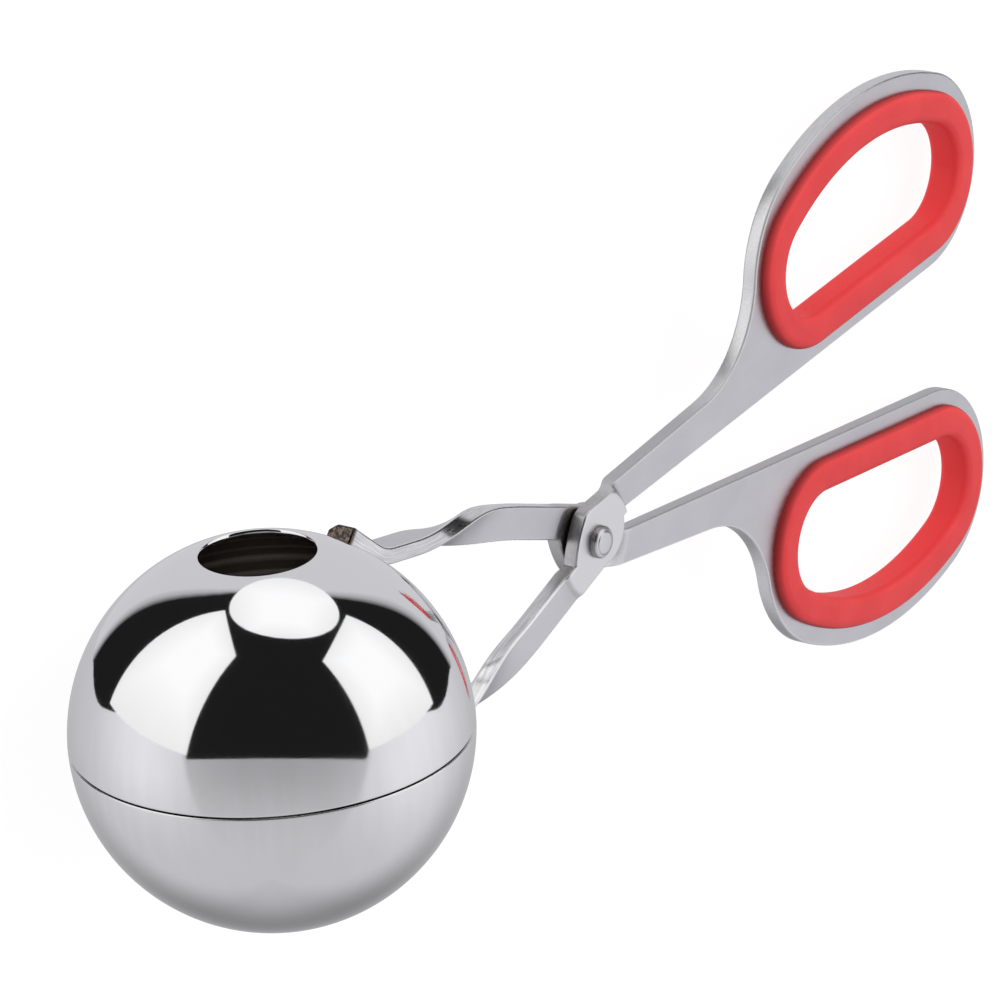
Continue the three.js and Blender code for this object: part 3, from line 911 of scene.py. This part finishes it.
# The studio: a white floor under the tool, two softboxes at the sides, a round one overhead, and
# a white sweep below and behind. The mirror of the ball shows all of it but the floor.
lamp_far = 0.8
lamp_glow = 1.1
cloth_behind = 0.004


def studio_way(azimuth, rise):
    """A direction from the ball: degrees to the right of the camera, and above its level."""
    azimuth, rise = math.radians(azimuth), math.radians(rise)
    level = to_right * math.sin(azimuth) + to_camera * math.cos(azimuth)
    return level * math.cos(rise) + to_top * math.sin(rise)


def emptied(surface):
    """The tree of a new material or world, with no nodes yet."""
    surface.use_nodes = True
    surface.node_tree.nodes.clear()
    return surface.node_tree


black_cloth = bpy.data.materials.new("black_cloth")
tree = emptied(black_cloth)
black = add_node(tree, "ShaderNodeBsdfDiffuse", (0, 0, 0, 1))
add_node(tree, "ShaderNodeOutputMaterial", black.outputs[0])


def softbox(name, shape, size, place, facing, roll):
    """A lamp as large as the ball's reflection shows it, with a black cloth back."""
    is_round = shape == "ELLIPSE"
    width, height = size[0] * lamp_far, size[1] * lamp_far
    lamp = bpy.data.lights.new(name, "AREA")
    lamp.shape = shape
    lamp.size, lamp.size_y = width, height
    lamp.energy = lamp_glow * math.pi * width * height * (math.pi / 4 if is_round else 1)
    lamp.use_nodes = True
    tree = lamp.node_tree
    across = tree.nodes.new("ShaderNodeNewGeometry").outputs["Parametric"]
    across = add_node(tree, "ShaderNodeSeparateXYZ", across).outputs
    from_middle = [sum_of(tree, "ABSOLUTE", sum_of(tree, "SUBTRACT", across[k], 0.5)) for k in (0, 1)]
    to_rim = sum_of(tree, "MAXIMUM", *from_middle)
    tree.links.new(spread(tree, to_rim, 0.2, 0.5, 1, 0.86), tree.nodes["Emission"].inputs["Strength"])
    back_way = studio_way(*facing)
    side_way = to_top.cross(back_way).normalized()
    rise_way = back_way.cross(side_way)
    turn = math.radians(roll)
    right = side_way * math.cos(turn) + rise_way * math.sin(turn)
    top = rise_way * math.cos(turn) - side_way * math.sin(turn)
    box = bpy.data.objects.new(name, lamp)
    box.matrix_world = standing(ball_centre + place * lamp_far, right, top, back_way)
    box.visible_camera = False
    bpy.context.scene.collection.objects.link(box)
    corners = 64 if is_round else 4
    reach = 0.5 if is_round else math.sqrt(0.5)
    rim = []
    for corner in range(corners):
        angle = 2 * math.pi * (corner + 0.5) / corners
        rim.append((width * reach * math.cos(angle), height * reach * math.sin(angle), cloth_behind))
    cloth = bpy.data.meshes.new(name + "_back")
    cloth.from_pydata(rim, [], [range(corners)])
    cloth.transform(box.matrix_world)
    cloth.materials.append(black_cloth)
    back = new_piece(name + "_back", cloth)
    back.visible_camera = back.visible_diffuse = back.visible_shadow = False
    back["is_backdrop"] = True


overhead = to_top + to_right * 0.13 + to_camera * 0.27
softbox("left_softbox", "RECTANGLE", (0.852, 1.406), studio_way(-51.9, 39.7), (-83.7, 6.0), -19.7)
softbox("right_softbox", "RECTANGLE", (0.838, 1.106), studio_way(68.5, 32.4), (81.0, 5.5), 19.5)
softbox("overhead_softbox", "ELLIPSE", (0.94, 0.82), overhead, (0, 89.9), 0)

# the sweep: a pale bowl below the tool, lower in front, whose glow follows the lamps
sweep_far = 1.2
sweep_points, sweep_glow, sweep_faces = [], [], []
bowl_columns, bowl_rows = 240, 12
for column in range(bowl_columns):
    azimuth = -180 + 360 * column / bowl_columns
    near_camera = 1 - smooth_step(abs(azimuth - 5), 51.5, 54.5)
    brink = 7 - 19 * near_camera + 6 * smooth_step(abs(azimuth), 108, 136)
    under_left = 0.28 * math.exp(-(((azimuth + 75) / 32) ** 2))
    under_right = 0.30 * math.exp(-(((azimuth - 88) / 38) ** 2))
    for row in range(bowl_rows + 1):
        rise = -90 + (brink + 90) * row / bowl_rows
        sweep_points.append(ball_centre + studio_way(azimuth, rise) * sweep_far)
        at_brink = math.exp(-((min(rise + 12, 0) / 28) ** 2))
        at_back = 0.33 * smooth_step(abs(azimuth), 120, 165) * math.exp(-(((rise + 38) / 30) ** 2))
        sweep_glow.append(0.60 + at_brink * (under_left + under_right - 0.205 * near_camera) - at_back)
for column in range(bowl_columns):
    for row in range(bowl_rows):
        a = column * (bowl_rows + 1) + row
        b = (column + 1) % bowl_columns * (bowl_rows + 1) + row
        sweep_faces.append((a, b, b + 1, a + 1))

# the backdrop behind the tool, narrower towards its top and fading at its sides
drop_columns, drop_rows = 24, 12
drop_first = len(sweep_points)
for row in range(drop_rows + 1):
    rise = 12.7 + 75.3 * row / drop_rows
    edge = 138 - 35 * (rise / 60) ** 2
    for column in range(drop_columns + 1):
        azimuth = edge + (360 - 2 * edge) * column / drop_columns
        sweep_points.append(ball_centre + studio_way(azimuth, rise) * sweep_far)
        sweep_glow.append(0.02 + 0.64 * smooth_step(min(column, drop_columns - column), 0, 1.6))
for row in range(drop_rows):
    for column in range(drop_columns):
        a = drop_first + row * (drop_columns + 1) + column
        b = a + drop_columns + 1
        sweep_faces.append((a, a + 1, b + 1, b))
mesh = bpy.data.meshes.new("white_sweep")
mesh.from_pydata(sweep_points, [], sweep_faces)
mark(mesh, {"glow": sweep_glow})
sweep = new_piece("white_sweep", mesh)
sweep.visible_camera = False
sweep.visible_shadow = False
paper = bpy.data.materials.new("lit_paper")
tree = emptied(paper)
lit = add_node(tree, "ShaderNodeEmission", (0.97, 0.965, 1.0, 1), carried(tree, "glow"))
add_node(tree, "ShaderNodeOutputMaterial", lit.outputs[0])
mesh.materials.append(paper)

# the floor, white to the camera, with the tool's soft shadow; it lies a little low, clear of the
# cup that swings down as the tool opens
floor_half = 1.5
floor_up = -3 * mm
mesh = bpy.data.meshes.new("floor")
corners = ((-1, -1), (1, -1), (1, 1), (-1, 1))
mesh.from_pydata([(x * floor_half, y * floor_half, floor_up) for x, y in corners], [], [(0, 1, 2, 3)])
floor = new_piece("floor", mesh)
floor.visible_glossy = False
floor.visible_shadow = False
white = bpy.data.materials.new("white_floor")
tree = emptied(white)
matt = add_node(tree, "ShaderNodeBsdfDiffuse", (0.20, 0.20, 0.20, 1))
own = add_node(tree, "ShaderNodeEmission", (1, 1, 1, 1), 0.885)
both = add_node(tree, "ShaderNodeAddShader", matt.outputs[0], own.outputs[0])
add_node(tree, "ShaderNodeOutputMaterial", both.outputs[0])
mesh.materials.append(white)
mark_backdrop(floor, sweep)

# the room round the lamps: white to the camera, dark in the mirror, and it fills the shadows
room = bpy.data.worlds.new("studio_room")
bpy.context.scene.world = room
tree = emptied(room)
rays = tree.nodes.new("ShaderNodeLightPath")
fill_light = sum_of(tree, "MULTIPLY_ADD", rays.outputs["Is Diffuse Ray"], 0.75, 0.012)
fill_light = sum_of(tree, "MAXIMUM", fill_light, rays.outputs["Is Camera Ray"])
air = add_node(tree, "ShaderNodeBackground", (1, 1, 1, 1), fill_light)
add_node(tree, "ShaderNodeOutputWorld", air.outputs[0])

low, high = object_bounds()
